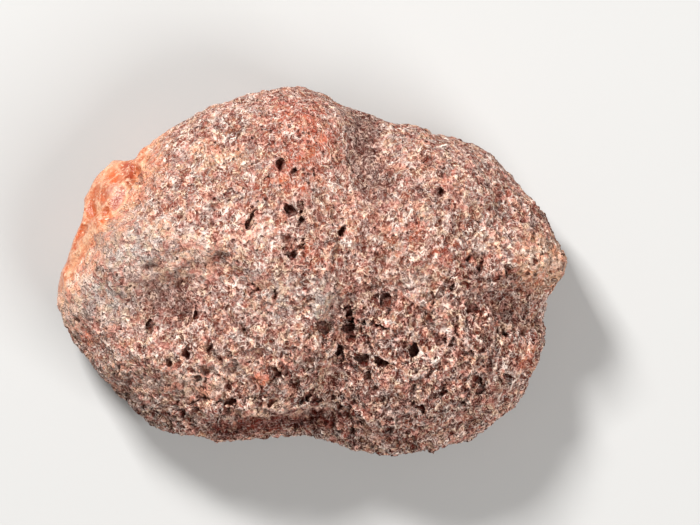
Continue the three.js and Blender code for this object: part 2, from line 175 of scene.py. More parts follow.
# Deep slits and holes in the rind, in plan: points, half width and depth.
SLITS = [
    ([(-3.4, 11.9), (-3.3, 11.0)], 0.23, 0.8),
    ([(-1.8, 10.8), (-1.9, 10.4)], 0.18, 0.85),
    ([(-4.7, 10.0)], 0.16, 0.77),
    ([(0.2, 10.9), (0.4, 10.2)], 0.14, 0.68),
    ([(-1.4, 15.0), (-1.1, 14.4)], 0.14, 0.59),
    ([(-9.5, 12.4), (-9.3, 12.1)], 0.11, 0.51),
    ([(-8.1, 11.1)], 0.15, 0.42),
    ([(-10.4, 11.4)], 0.22, 0.42),
    ([(-8.7, 8.7), (-8.2, 8.2)], 0.12, 0.59),
    ([(-10.4, 7.6)], 0.15, 0.59),
    ([(-10.7, 5.4), (-10.7, 4.9)], 0.12, 0.51),
    ([(-6.1, 6.5), (-6.7, 4.6)], 0.14, 0.77),
    ([(-2.6, 6.9), (-2.0, 6.2)], 0.18, 0.8),
    ([(-1.0, 7.3), (-1.1, 5.2)], 0.16, 0.8),
    ([(-2.5, 3.5), (-1.6, 2.9), (-1.5, 1.7)], 0.24, 0.9),
    ([(-0.9, 3.4), (-0.7, 2.4)], 0.17, 0.8),
    ([(-2.6, 2.4), (-2.2, 1.8)], 0.2, 0.9),
    ([(-2.5, 9.0), (-2.4, 8.4)], 0.1, 0.51),
    ([(4.0, 12.2), (4.5, 10.6)], 0.14, 0.77),
    ([(2.6, 6.9), (3.3, 5.7)], 0.16, 0.85),
    ([(3.4, 4.7), (3.2, 3.9)], 0.14, 0.77),
    ([(11.2, 8.7), (11.5, 7.7)], 0.19, 0.94),
    ([(13.7, 8.7), (13.7, 8.3)], 0.19, 0.85),
    ([(13.9, 10.4)], 0.12, 0.59),
    ([(12.0, 12.8), (12.6, 11.5)], 0.14, 0.51),
    ([(11.4, 11.5)], 0.12, 0.42),
    ([(17.2, 6.3), (18.0, 5.1)], 0.11, 0.51),
    ([(18.2, 1.1), (18.1, 0.1)], 0.15, 0.77),
    ([(16.9, -0.6), (18.0, -1.0)], 0.27, 0.68),
    ([(20.8, 0.5), (20.9, 0.0)], 0.16, 0.77),
    ([(23.7, 1.2), (23.9, 0.8)], 0.14, 0.51),
    ([(15.1, -1.6), (15.1, -2.0)], 0.16, 0.77),
    ([(4.0, -3.9), (4.2, -7.2)], 0.14, 0.85),
    ([(5.4, -5.4), (5.2, -6.4)], 0.14, 0.68),
    ([(5.7, -3.8)], 0.16, 0.68),
    ([(7.9, -2.9), (7.9, -3.4)], 0.16, 0.85),
    ([(9.5, -3.5), (9.5, -4.0)], 0.14, 0.77),
    ([(6.4, -5.6), (8.0, -6.4)], 0.12, 0.68),
    ([(12.9, -2.9), (13.0, -3.5)], 0.22, 0.77),
    ([(12.4, -5.0), (12.5, -6.2)], 0.14, 0.77),
    ([(10.8, -6.5)], 0.14, 0.68),
    ([(11.0, -7.9), (10.9, -9.2)], 0.18, 0.85),
    ([(13.9, -7.1), (14.2, -7.9)], 0.16, 0.85),
    ([(7.0, -9.5), (8.0, -9.9)], 0.22, 0.94),
    ([(4.9, -9.4), (5.8, -9.7)], 0.19, 0.77),
    ([(3.0, -8.3), (3.1, -9.3)], 0.2, 0.85),
    ([(1.0, -5.8), (1.5, -6.3)], 0.22, 0.85),
    ([(17.4, -4.0), (17.9, -4.2)], 0.22, 0.85),
    ([(20.5, -5.7), (20.9, -6.6)], 0.14, 0.77),
    ([(17.4, -5.6), (17.6, -6.4)], 0.18, 0.51),
    ([(16.8, -8.5), (17.0, -8.9)], 0.19, 0.85),
    ([(16.2, -9.3), (16.3, -10.4)], 0.11, 0.59),
    ([(17.7, -11.7), (18.2, -13.0)], 0.18, 0.94),
    ([(19.1, -10.0), (19.2, -10.6)], 0.14, 0.68),
    ([(13.9, -12.1), (14.0, -13.2)], 0.19, 0.85),
    ([(21.0, -11.2), (21.3, -12.0)], 0.18, 0.77),
    ([(15.9, -13.8), (16.2, -14.9)], 0.19, 0.85),
    ([(11.6, -14.6), (11.9, -15.6)], 0.18, 0.85),
    ([(-6.7, -1.4), (-6.1, -1.6)], 0.14, 0.68),
    ([(-6.5, -2.6), (-5.9, -2.0)], 0.14, 0.68),
    ([(-3.8, -2.0), (-3.8, -2.9)], 0.12, 0.68),
    ([(-12.2, -3.2), (-12.2, -4.8)], 0.14, 0.68),
    ([(-17.3, -5.3), (-17.2, -6.5)], 0.12, 0.59),
    ([(-10.9, -8.1), (-10.9, -8.6)], 0.18, 0.77),
    ([(-11.8, -10.4), (-11.4, -10.6)], 0.16, 0.77),
    ([(-13.4, -8.6), (-13.3, -9.0)], 0.15, 0.68),
    ([(-15.2, -9.6), (-15.1, -10.0)], 0.15, 0.68),
    ([(-6.5, -9.7), (-6.1, -9.9)], 0.15, 0.68),
    ([(-4.1, -10.5), (-3.6, -11.4), (-3.7, -12.7)], 0.24, 1.19),
    ([(-2.7, -10.7), (-2.0, -11.2)], 0.15, 0.77),
    ([(-8.9, -12.4), (-8.8, -12.9)], 0.18, 0.77),
    ([(-18.3, -14.0), (-18.2, -14.5)], 0.16, 0.59),
    ([(-12.7, -14.0), (-11.4, -13.6), (-10.2, -13.8), (-8.4, -13.9)], 0.18, 0.7),
    ([(-5.2, -13.5), (-3.6, -13.3)], 0.14, 0.5),
    ([(-1.4, -13.9), (-0.4, -13.6), (1.0, -13.8)], 0.18, 0.7),
    ([(2.2, -13.2), (2.9, -14.6)], 0.18, 0.7),
]

# Zones of the bared chalcedony, in the same form.
ZONES = {
    "deep_orange": [
        ([(-21.6, 10.6), (-21.2, 9.4)], 0.45, 1.0),
        ([(-20.7, 6.3), (-21.9, 5.7), (-22.8, 5.0)], 0.22, 1.2),
        ([(-24.6, 5.4), (-25.1, 3.8)], 0.35, 0.7),
        ([(-26.6, 0.6)], 0.4, 0.7),
        ([(-22.7, 7.8), (-22.3, 7.6)], 0.18, 0.8),
        ([(-19.4, 8.4), (-18.8, 7.6)], 0.25, 0.8),
    ],
    # Darker red on the notch facet that faces away from the light: a red facet with painted shade.
    "russet_in_shade": [
        ([(-19.8, 11.3), (-19.4, 9.6)], 0.42, 1.1),
    ],
    "milky": [
        ([(-21.2, 11.5), (-22.2, 10.6)], 0.4, 0.5),
        ([(-20.2, 9.5), (-19.7, 8.7), (-20.0, 7.1), (-20.9, 6.4)], 0.16, 1.1),
        ([(-22.9, 7.2), (-22.8, 6.4)], 0.25, 0.9),
        ([(-23.4, 4.4), (-24.8, 2.4), (-26.0, 0.0)], 0.3, 0.8),
        ([(-18.1, 11.6), (-18.0, 11.1)], 0.25, 1.1),
    ],
    "mauve": [
        ([(-21.2, 8.7), (-20.6, 8.3), (-20.9, 7.2)], 0.6, 0.9),
    ],
}
ZONE_TONES = {"deep_orange": "#cc5510", "russet_in_shade": "#a03c1e", "milky": "#dcaa84", "mauve": "#984a40"}

# Small flat chips that stand out on the bared chalcedony: a point in the plane, its facing and its reach.
CHIPS = [
    ((-21.0, 8.6, 11.0), (-0.20, 0.22, 0.95), 1.7),
    ((-22.0, 10.7, 8.3), (-0.30, 0.75, 0.60), 1.9),
    ((-19.6, 10.6, 9.5), (0.45, 0.55, 0.70), 1.3),
    ((-18.3, 11.5, 10.2), (-0.45, 0.35, 0.82), 1.3),
    ((-23.2, 6.9, 8.8), (-0.92, 0.10, 0.38), 1.6),
    ((-22.2, 6.0, 11.2), (-0.30, -0.15, 0.94), 1.1),
    ((-24.8, 3.6, 9.6), (-0.90, 0.35, 0.30), 1.6),
    ((-25.8, 1.2, 9.2), (-0.62, -0.10, 0.78), 1.5),
]


def linear(hex_colour):
    """An sRGB hex colour as linear RGBA."""
    channels = [int(hex_colour[i : i + 2], 16) / 255 for i in (1, 3, 5)]
    return [c / 12.92 if c <= 0.04045 else ((c + 0.055) / 1.055) ** 2.4 for c in channels] + [1.0]


def add(tree, kind, inputs=None, **settings):
    """Add a node with its settings and links.

    inputs are by name or number. Each is a value, an output, or a node, which stands for its first output.
    By number, a Mix has its factor at 0, two numbers at 2 and 3, and two colours at 6 and 7, and a Map Range
    has its value at 0, the range it comes from at 1 and 2, and the range it goes to at 3 and 4.
    """
    node = tree.nodes.new(kind)
    for name, value in settings.items():
        setattr(node, name, value)
    for name, value in (inputs or {}).items():
        if isinstance(value, bpy.types.Node):
            value = next(output for output in value.outputs if output.enabled)
        if isinstance(value, bpy.types.NodeSocket):
            tree.links.new(value, node.inputs[name])
        else:
            node.inputs[name].default_value = value
    return node


# ---------------------------------------------------------------- mesh

def merged_copy(node):
    """The node's solid as a mesh of its own, with the doubles along its facets merged."""
    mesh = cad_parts[node].data.copy()
    work = bmesh.new()
    work.from_mesh(mesh)
    bmesh.ops.remove_doubles(work, verts=work.verts, dist=WELD)
    work.to_mesh(mesh)
    work.free()
    mesh.materials.clear()
    return mesh


def applied(mesh, kind, inputs=None, **settings):
    """The mesh after one modifier. inputs are those of its node tree, by name."""
    piece = bpy.data.objects.new("work", mesh)
    bpy.context.collection.objects.link(piece)
    modifier = piece.modifiers.new("step", kind)
    for name, value in settings.items():
        setattr(modifier, name, value)
    if inputs:
        for item in modifier.node_group.interface.items_tree:
            if item.in_out == "INPUT" and item.name in inputs:
                modifier[item.identifier] = inputs[item.name]
    done = bpy.data.meshes.new_from_object(piece.evaluated_get(bpy.context.evaluated_depsgraph_get()))
    bpy.data.objects.remove(piece)
    return done


def points(mesh):
    """Vertex places as an array."""
    flat = np.empty(len(mesh.vertices) * 3)
    mesh.vertices.foreach_get("co", flat)
    return flat.reshape(-1, 3)


def normals(mesh):
    """Vertex normals as an array."""
    flat = np.empty(len(mesh.vertices) * 3)
    mesh.vertex_normals.foreach_get("vector", flat)
    return flat.reshape(-1, 3)


def edges(mesh):
    """Edges as pairs of vertex numbers."""
    flat = np.empty(len(mesh.edges) * 2, dtype=np.int64)
    mesh.edges.foreach_get("vertices", flat)
    return flat.reshape(-1, 2)


def smoothed(values, pairs, times):
    """Each vertex's value averaged with its neighbours', so many times over."""
    count = len(values)
    degree = np.bincount(pairs.ravel(), minlength=count).clip(1)
    columns = values.reshape(count, -1).copy()
    for _ in range(times):
        for c in range(columns.shape[1]):
            total = np.bincount(pairs[:, 0], columns[pairs[:, 1], c], count)
            total += np.bincount(pairs[:, 1], columns[pairs[:, 0], c], count)
            columns[:, c] = 0.5 * columns[:, c] + 0.5 * total / degree
    return columns.reshape(values.shape)


def store(mesh, name, values):
    """Keep one number for each vertex, for the materials and the relief to read."""
    attribute = mesh.attributes.get(name) or mesh.attributes.new(name, "FLOAT", "POINT")
    attribute.data.foreach_set("value", np.asarray(values, dtype=np.float32))


def smoothstep(start, end, value):
    """0 up to start and 1 from end on, with a smooth rise between."""
    t = np.clip((value - start) / (end - start), 0, 1)
    return t * t * (3 - 2 * t)


NO_LENGTH = 1e-9  # stands in for the squared length of a line of one point


def from_line(places, line):
    """Distance in plan to a line in millimetres, and the side: 1 to the right going along it, else -1."""
    x, y = places[:, 0] / MM, places[:, 1] / MM
    nearest = np.full(len(x), np.inf)
    side = np.ones(len(x))
    for (x0, y0), (x1, y1) in zip(line, line[1:] or line):
        dx, dy = x1 - x0, y1 - y0
        length_squared = max(dx * dx + dy * dy, NO_LENGTH)
        t = np.clip(((x - x0) * dx + (y - y0) * dy) / length_squared, 0, 1)
        away = np.hypot(x - x0 - t * dx, y - y0 - t * dy)
        closer = away < nearest
        nearest = np.where(closer, away, nearest)
        side = np.where(closer, -np.sign(dx * (y - y0) - dy * (x - x0)), side)
    return nearest, side


def beyond_edge(places):
    """Distance past the rind's broken edge, above 0 on the bared chalcedony.

    Slow waves lift and lower the foot, and two sets of short ones leave the whole edge slightly ragged.
    """
    away, side = from_line(places, RIND_EDGE)
    x, y, z = places.T / MM
    above_foot = z - FOOT - 0.6 * np.sin(0.9 * y + 0.5 * x)
    beyond = np.minimum(away * side, above_foot)
    beyond += 0.18 * np.sin(3.1 * x + 1.7 * y)
    beyond += 0.12 * np.sin(6.3 * y + 2.3 * z)
    return beyond


def painted(places, strokes, sharpness):
    """Strength of a set of strokes at each place: full to about the half width, then fading."""
    strength = np.zeros(len(places))
    for line, half_width, full in strokes:
        away, _ = from_line(places, line)
        strength = np.maximum(strength, full * np.exp(-((away / half_width) ** sharpness) / 2))
    return strength


def ragged(places, push, wave):
    """The places pushed about by millimetres in waves of one length, for strokes with an uneven outline."""
    x, y, z = places.T / MM * (2 * np.pi / wave)
    along = np.sin(y + 0.6 * x + z) + 0.6 * np.sin(2.3 * y - 1.7 * x)
    across = np.sin(x - 0.7 * y + z) + 0.6 * np.sin(2.1 * x + 1.9 * y)
    return places + push * MM * np.stack([along, across, 0 * z], axis=1)


def carved(places, outward, slits):
    """The places sunk where the slits run, each slit a rounded notch. What faces down stays as it is."""
    depth = np.zeros(len(places))
    uneven = ragged(places, *SLIT_SWAY)
    for line, half_width, full in slits:
        away, _ = from_line(uneven, line)
        depth = np.maximum(depth, full * np.exp(-((away / half_width) ** 2)))
    return places - outward * (depth * MM * (outward[:, 2] > 0))[:, None]


def chipped(places, chips):
    """The places cut back to flat chips, each a point in a plane, the plane's facing and its reach."""
    for middle, facing, reach in chips:
        normal = np.array(facing) / np.linalg.norm(facing)
        offset = places / MM - middle
        above = offset @ normal
        near = smoothstep(reach, 0.85 * reach, np.linalg.norm(offset, axis=1))
        places = places - np.outer(np.maximum(above, 0) * near * MM, normal)
    return places


def coarseness(places):
    """How coarse and open the rind is: finest at the back left, coarsest at the front right."""
    x, y = places[:, 0] / MM, places[:, 1] / MM
    return FINEST + (1 - FINEST) * smoothstep(*COARSER_SPAN, COARSER_WAY[0] * x + COARSER_WAY[1] * y)


# ---------------------------------------------------------------- relief

RELIEF_SIZES = {
    "Lump size": 3.2, "Lump height": 0.9,
    "Crumb size": 1.2, "Crumb height": 0.9,
    "Bowl spacing": 1.4, "Bowl depth": 0.6,
    "Slit spacing": 1.0, "Slit depth": 0.9,
    "Pore spacing": 0.6, "Pore depth": 0.42,
    "Grain size": 0.42, "Grain height": 0.26,
    "Scallop size": 1.9, "Scallop depth": 0.5,
    "Warp size": 0.9, "Warp": 1.5,
    "Saw band": 0.5,
    "Seed": 4.0,
}  # millimetres, apart from the seed


def relief_tree():
    """Geometry Nodes tree that crumbles and pits the rind and scallops the bared chalcedony."""
    tree = bpy.data.node_groups.new("weathered relief", "GeometryNodeTree")
    face = tree.interface
    face.new_socket("Geometry", in_out="INPUT", socket_type="NodeSocketGeometry")
    for name, value in RELIEF_SIZES.items():
        face.new_socket(name, in_out="INPUT", socket_type="NodeSocketFloat").default_value = value
    face.new_socket("Material", in_out="INPUT", socket_type="NodeSocketMaterial")
    face.new_socket("Geometry", in_out="OUTPUT", socket_type="NodeSocketGeometry")
    given = add(tree, "NodeGroupInput").outputs
    coarse = add(tree, "GeometryNodeInputNamedAttribute", {"Name": "coarse"}, data_type="FLOAT")
    bared = add(tree, "GeometryNodeInputNamedAttribute", {"Name": "bared"}, data_type="FLOAT")
    where = add(tree, "GeometryNodeInputPosition")
    place = add(tree, "ShaderNodeVectorMath", {0: where, "Scale": 1 / MM}, operation="SCALE")

    def rough(size, height, vector, detail):
        """Rises and dips of one size, as much below the skin as above it."""
        scale = add(tree, "ShaderNodeMath", {0: 1.0, 1: size}, operation="DIVIDE")
        cloud = {"Vector": vector, "W": given["Seed"], "Scale": scale, "Detail": detail}
        noise = add(tree, "ShaderNodeTexNoise", cloud, noise_dimensions="4D")
        level = add(tree, "ShaderNodeMath", {0: noise, 1: 0.5}, operation="SUBTRACT")
        return add(tree, "ShaderNodeMath", {0: level, 1: height}, operation="MULTIPLY")

    def hollows(spacing, depth, rarity, stretch):
        """Hollows with thin walls between them. The larger rarity is, the fewer of them are deep."""
        scale = add(tree, "ShaderNodeMath", {0: 1.0, 1: spacing}, operation="DIVIDE")
        drawn = add(tree, "ShaderNodeVectorMath", {0: warped, 1: stretch}, operation="MULTIPLY")
        cells = {"Vector": drawn, "Scale": scale}
        wall = add(tree, "ShaderNodeTexVoronoi", cells, feature="DISTANCE_TO_EDGE")
        cell = add(tree, "ShaderNodeTexVoronoi", cells)
        luck = add(tree, "FunctionNodeSeparateColor", {0: cell.outputs["Color"]})
        chance = add(tree, "ShaderNodeMath", {0: luck, 1: rarity}, operation="POWER")
        bowl = add(tree, "ShaderNodeMapRange", {0: wall, 1: 0.01, 2: 0.25}, interpolation_type="SMOOTHSTEP")
        deep = add(tree, "ShaderNodeMath", {0: bowl, 1: chance}, operation="MULTIPLY")
        return add(tree, "ShaderNodeMath", {0: deep, 1: depth}, operation="MULTIPLY")

    scale = add(tree, "ShaderNodeMath", {0: 1.0, 1: given["Warp size"]}, operation="DIVIDE")
    waves = {"Vector": place, "W": given["Seed"], "Scale": scale, "Detail": 2.0}
    noise = add(tree, "ShaderNodeTexNoise", waves, noise_dimensions="4D")
    sway = add(tree, "ShaderNodeVectorMath", {0: noise.outputs["Color"], 1: (0.5,) * 3}, operation="SUBTRACT")
    push = add(tree, "ShaderNodeVectorMath", {0: sway, "Scale": given["Warp"]}, operation="SCALE")
    warped = add(tree, "ShaderNodeVectorMath", {0: place, 1: push}, operation="ADD")

    lumps = rough(given["Lump size"], given["Lump height"], place, 1.0)
    crumbs = rough(given["Crumb size"], given["Crumb height"], warped, 2.0)
    grain = rough(given["Grain size"], given["Grain height"], warped, 1.0)
    bowls = hollows(given["Bowl spacing"], given["Bowl depth"], rarity=2.2, stretch=(1.0, 0.75, 0.9))
    slits = hollows(given["Slit spacing"], given["Slit depth"], rarity=6.0, stretch=(1.0, 0.4, 0.7))
    pores = hollows(given["Pore spacing"], given["Pore depth"], rarity=1.4, stretch=(1.0, 0.8, 0.9))
    pitted = add(tree, "ShaderNodeMath", {0: bowls, 1: pores}, operation="ADD")
    broken = add(tree, "ShaderNodeMath", {0: pitted, 1: slits}, operation="ADD")
    open_skin = add(tree, "ShaderNodeMath", {0: broken, 1: coarse}, operation="MULTIPLY")
    strength = add(tree, "ShaderNodeMapRange", {0: coarse, 3: 0.45, 4: 1.1})
    crumbled = add(tree, "ShaderNodeMath", {0: crumbs, 1: strength, 2: grain}, operation="MULTIPLY_ADD")
    uneven = add(tree, "ShaderNodeMath", {0: lumps, 1: crumbled}, operation="ADD")
    skin = add(tree, "ShaderNodeMath", {0: uneven, 1: open_skin}, operation="SUBTRACT")

    scale = add(tree, "ShaderNodeMath", {0: 1.0, 1: given["Scallop size"]}, operation="DIVIDE")
    shells = add(tree, "ShaderNodeTexVoronoi", {"Vector": place, "Scale": scale})
    level = add(tree, "ShaderNodeMath", {0: shells, 1: 0.7}, operation="SUBTRACT")
    scallops = add(tree, "ShaderNodeMath", {0: level, 1: given["Scallop depth"]}, operation="MULTIPLY")

    lift = add(tree, "ShaderNodeMix", {0: bared, 2: skin, 3: scallops})
    # The relief fades out towards the sawn face, so that its rim stays true.
    above = add(tree, "ShaderNodeSeparateXYZ", {0: place}).outputs[2]
    off_saw = add(tree, "ShaderNodeMapRange", {0: above, 1: 0.1, 2: given["Saw band"], 4: MM})
    height = add(tree, "ShaderNodeMath", {0: lift, 1: off_saw}, operation="MULTIPLY")
    outward = add(tree, "GeometryNodeInputNormal")
    offset = add(tree, "ShaderNodeVectorMath", {0: outward, "Scale": height}, operation="SCALE")
    moved = add(tree, "GeometryNodeSetPosition", {"Geometry": given["Geometry"], "Offset": offset})
    realized = add(tree, "GeometryNodeRealizeInstances", {0: moved})
    dressed = add(tree, "GeometryNodeSetMaterial", {"Geometry": realized, "Material": given["Material"]})
    add(tree, "NodeGroupOutput", {"Geometry": dressed})
    return tree


def skin_mesh(material):
    """The skin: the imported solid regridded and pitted, thinned to its triangle budget and open underneath."""
    mesh = applied(merged_copy("agate"), "REMESH", mode="VOXEL", voxel_size=GRID)
    places = points(mesh)
    crisp = smoothed(places, edges(mesh), CRISP_ROUNDS)
    bared = smoothstep(*BARING, beyond_edge(crisp))
    soft = crisp + (smoothed(crisp, edges(mesh), SOFT_ROUNDS) - crisp) * (1 - bared)[:, None]
    soft = chipped(carved(soft, normals(mesh), SLITS), CHIPS)
    soft[:, 2] = np.where(places[:, 2] < SAW_CUT, places[:, 2], soft[:, 2])
    mesh.vertices.foreach_set("co", soft.ravel())
    mesh.update()
    store(mesh, "bared", bared)
    store(mesh, "coarse", coarseness(soft))
    mesh = applied(mesh, "NODES", {"Material": material}, node_group=relief_tree())
    work = bmesh.new()
    work.from_mesh(mesh)
    flat = [f for f in work.faces if all(v.co.z < SAW_CUT for v in f.verts)]
    bmesh.ops.delete(work, geom=flat, context="FACES")
    work.to_mesh(mesh)
    work.free()
    triangles = 2 * len(mesh.polygons)  # each face of the remeshed skin has four sides
    return applied(mesh, "DECIMATE", ratio=MOST_TRIANGLES / triangles)


def close_with_sawn_face(mesh):
    """Fill the open underside with a flat face whose points know how far in from the skin they lie."""
    work = bmesh.new()
    work.from_mesh(mesh)
    rim = [e for e in work.edges if e.is_boundary]
    corners = list(dict.fromkeys(v for e in rim for v in e.verts))
    for v in corners:
        v.co.z = 0.0
    number = {v: i for i, v in enumerate(corners)}
    outline = np.array([v.co[:2] for v in corners])
    inner = []
    for x in np.arange(low[0], high[0], FACE_GRID):
        for y in np.arange(low[1], high[1], FACE_GRID):
            if np.hypot(*(outline - (x, y)).T).min() > RIM_GAP:
                inner.append((x, y))
    flat = [mathutils.Vector(p) for p in outline] + [mathutils.Vector(p) for p in inner]
    pairs = [tuple(number[v] for v in e.verts) for e in rim]
    inside_only, same_point = 1, 1e-7
    verts, _, faces, origins, *_ = mathutils.geometry.delaunay_2d_cdt(
        flat, pairs, [], inside_only, same_point)
    made = []
    for v, origin in zip(verts, origins):
        on_rim = origin and origin[0] < len(corners)
        made.append(corners[origin[0]] if on_rim else work.verts.new((*v, 0.0)))
    for face in faces:
        new = work.faces.new([made[i] for i in face])
        new.normal_update()
        if new.normal.z > 0:
            new.normal_flip()
        new.material_index = SAWN
    for e in rim:
        e.smooth = False
    work.to_mesh(mesh)
    work.free()
    places = points(mesh)
    inset = np.zeros(len(places))
    for i in np.flatnonzero(places[:, 2] == 0.0):
        inset[i] = np.hypot(*(outline - places[i, :2]).T).min() / MM
    store(mesh, "inset", inset)


# ---------------------------------------------------------------- materials

SEED_STEP = 7.3  # millimetres between the parts of a pattern that two seeds read
FIBRE_RELIEF = 0.115 * MM  # how far the finest fibres and rims of the rind stand out
CRYSTAL_RELIEF = 0.08 * MM  # and the finest crystals on the chalcedony


def new_material(name):
    """A material with nothing in it yet, and its node tree."""
    material = bpy.data.materials.new(name)
    material.use_nodes = True
    material.node_tree.nodes.clear()
    return material, material.node_tree


def object_place(tree):
    """Place on the stone in millimetres."""
    where = add(tree, "ShaderNodeTexCoord").outputs["Object"]
    return add(tree, "ShaderNodeVectorMath", {0: where, "Scale": 1 / MM}, operation="SCALE")


def seeded(tree, place, seed):
    """The place moved on, so that each seed reads a part of a pattern of its own."""
    return add(tree, "ShaderNodeVectorMath", {0: place, 1: (SEED_STEP * seed,) * 3}, operation="ADD")


def swayed(tree, place, size, amount, seed):
    """A place pushed about in waves of about one size, so that a pattern on it loses its regular look."""
    waves = {"Vector": place, "W": seed, "Scale": 1 / size, "Detail": 2.0}
    noise = add(tree, "ShaderNodeTexNoise", waves, noise_dimensions="4D")
    sway = add(tree, "ShaderNodeVectorMath", {0: noise.outputs["Color"], 1: (0.5,) * 3}, operation="SUBTRACT")
    push = {0: sway, 1: (2 * amount,) * 3, 2: place}
    return add(tree, "ShaderNodeVectorMath", push, operation="MULTIPLY_ADD")


def patches(tree, place, size, seed, start=0.45, end=0.6):
    """Irregular patches of about one size, fading from 0 at start to 1 at end."""
    cloud = {"Vector": seeded(tree, place, seed), "Scale": 1 / size, "Detail": 3.0, "Roughness": 0.6}
    noise = add(tree, "ShaderNodeTexNoise", cloud)
    return add(tree, "ShaderNodeMapRange", {0: noise, 1: start, 2: end})


def strands(tree, place, size, seed, turns):
    """Winding strands, as contour lines of a soft noise: 1 along the middle of each, -1 between them."""
    cloud = {"Vector": seeded(tree, place, seed), "Scale": 1 / size, "Detail": 0.5, "Roughness": 0.4}
    noise = add(tree, "ShaderNodeTexNoise", cloud)
    phase = add(tree, "ShaderNodeMath", {0: noise, 1: 2 * np.pi * turns}, operation="MULTIPLY")
    return add(tree, "ShaderNodeMath", {0: phase}, operation="SINE")


def lace(tree, place, size, seed, wall):
    """Open pits of about one size inside thin rims: how much rim and how much pit there is."""
    cloud = {"Vector": seeded(tree, place, seed), "Scale": 1 / size, "Detail": 1.5}
    noise = add(tree, "ShaderNodeTexNoise", cloud)
    off = add(tree, "ShaderNodeMath", {0: noise, 1: 0.5}, operation="SUBTRACT")
    away = add(tree, "ShaderNodeMath", {0: off}, operation="ABSOLUTE")
    rim = add(tree, "ShaderNodeMapRange", {0: away, 1: wall, 2: 0.4 * wall})
    pit = add(tree, "ShaderNodeMapRange", {0: off, 1: wall, 2: 2.4 * wall})
    return rim, pit


def froth(tree, place, spacing, seed):
    """Burst bubbles with thin walls: 0 on the walls, towards 1 in the bubbles that are deepest."""
    own = add(tree, "ShaderNodeVectorMath", {0: place, 1: (seed,) * 3}, operation="ADD")
    cells = {"Vector": own, "Scale": 1 / spacing}
    wall = add(tree, "ShaderNodeTexVoronoi", cells, feature="DISTANCE_TO_EDGE")
    inside = add(tree, "ShaderNodeMapRange", {0: wall, 1: 0.04, 2: 0.24})
    cell = add(tree, "ShaderNodeTexVoronoi", cells)
    luck = add(tree, "ShaderNodeSeparateColor", {0: cell.outputs["Color"]})
    chance = add(tree, "ShaderNodeMath", {0: luck, 1: 1.5}, operation="POWER")
    return add(tree, "ShaderNodeMath", {0: inside, 1: chance}, operation="MULTIPLY")


def pores(tree, place, spacing, seed, fewest):
    """Small round holes, one in each cell that is lucky enough."""
    cells = {"Vector": seeded(tree, place, seed), "Scale": 1 / spacing, "Randomness": 0.9}
    cell = add(tree, "ShaderNodeTexVoronoi", cells)
    hole = add(tree, "ShaderNodeMapRange", {0: cell.outputs["Distance"], 1: 0.42, 2: 0.24})
    luck = add(tree, "ShaderNodeSeparateColor", {0: cell.outputs["Color"]})
    open_here = add(tree, "ShaderNodeMapRange", {0: luck, 1: fewest, 2: fewest + 0.2})
    return add(tree, "ShaderNodeMath", {0: hole, 1: open_here}, operation="MULTIPLY")


def coated(tree, base, coats):
    """A colour under coats of others: each has its tone, its strength, and masks that it needs all of."""
    colour = linear(base) if isinstance(base, str) else base
    for tone, share, *masks in coats:
        for mask in masks:
            share = add(tree, "ShaderNodeMath", {0: mask, 1: share}, operation="MULTIPLY", use_clamp=True)
        colour = add(tree, "ShaderNodeMix", {0: share, 6: colour, 7: linear(tone)}, data_type="RGBA")
    return colour


# Mottles of the bare mineral: tone, share, and the size in millimetres, seed, start and end of their patches.
MOTTLES = [
    ("#b6938a", 0.7, 5.5, 11.0, 0.45, 0.58),
    ("#c48a77", 0.6, 3.2, 12.0, 0.51, 0.59),
    ("#9a7b73", 0.6, 2.2, 13.0, 0.52, 0.6),
    ("#e2c8be", 0.5, 2.0, 17.0, 0.52, 0.6),
    ("#d0a484", 0.6, 1.4, 18.0, 0.55, 0.61),
    ("#8e6c63", 0.5, 0.9, 22.0, 0.52, 0.59),
]
# Washes that tint the finished rind, in the same form.
WASHES = [
    ("#fbeae2", 0.9, 3.4, 26.0, 0.48, 0.56),
    ("#d2c8c3", 0.9, 2.6, 27.0, 0.51, 0.59),
    ("#fbcdb8", 0.9, 1.3, 28.0, 0.52, 0.6),
    ("#d8cccb", 0.8, 1.2, 36.0, 0.52, 0.61),
    ("#f7e4cd", 0.85, 1.1, 30.0, 0.51, 0.6),
    ("#e2b3a9", 0.9, 1.0, 32.0, 0.53, 0.61),
]


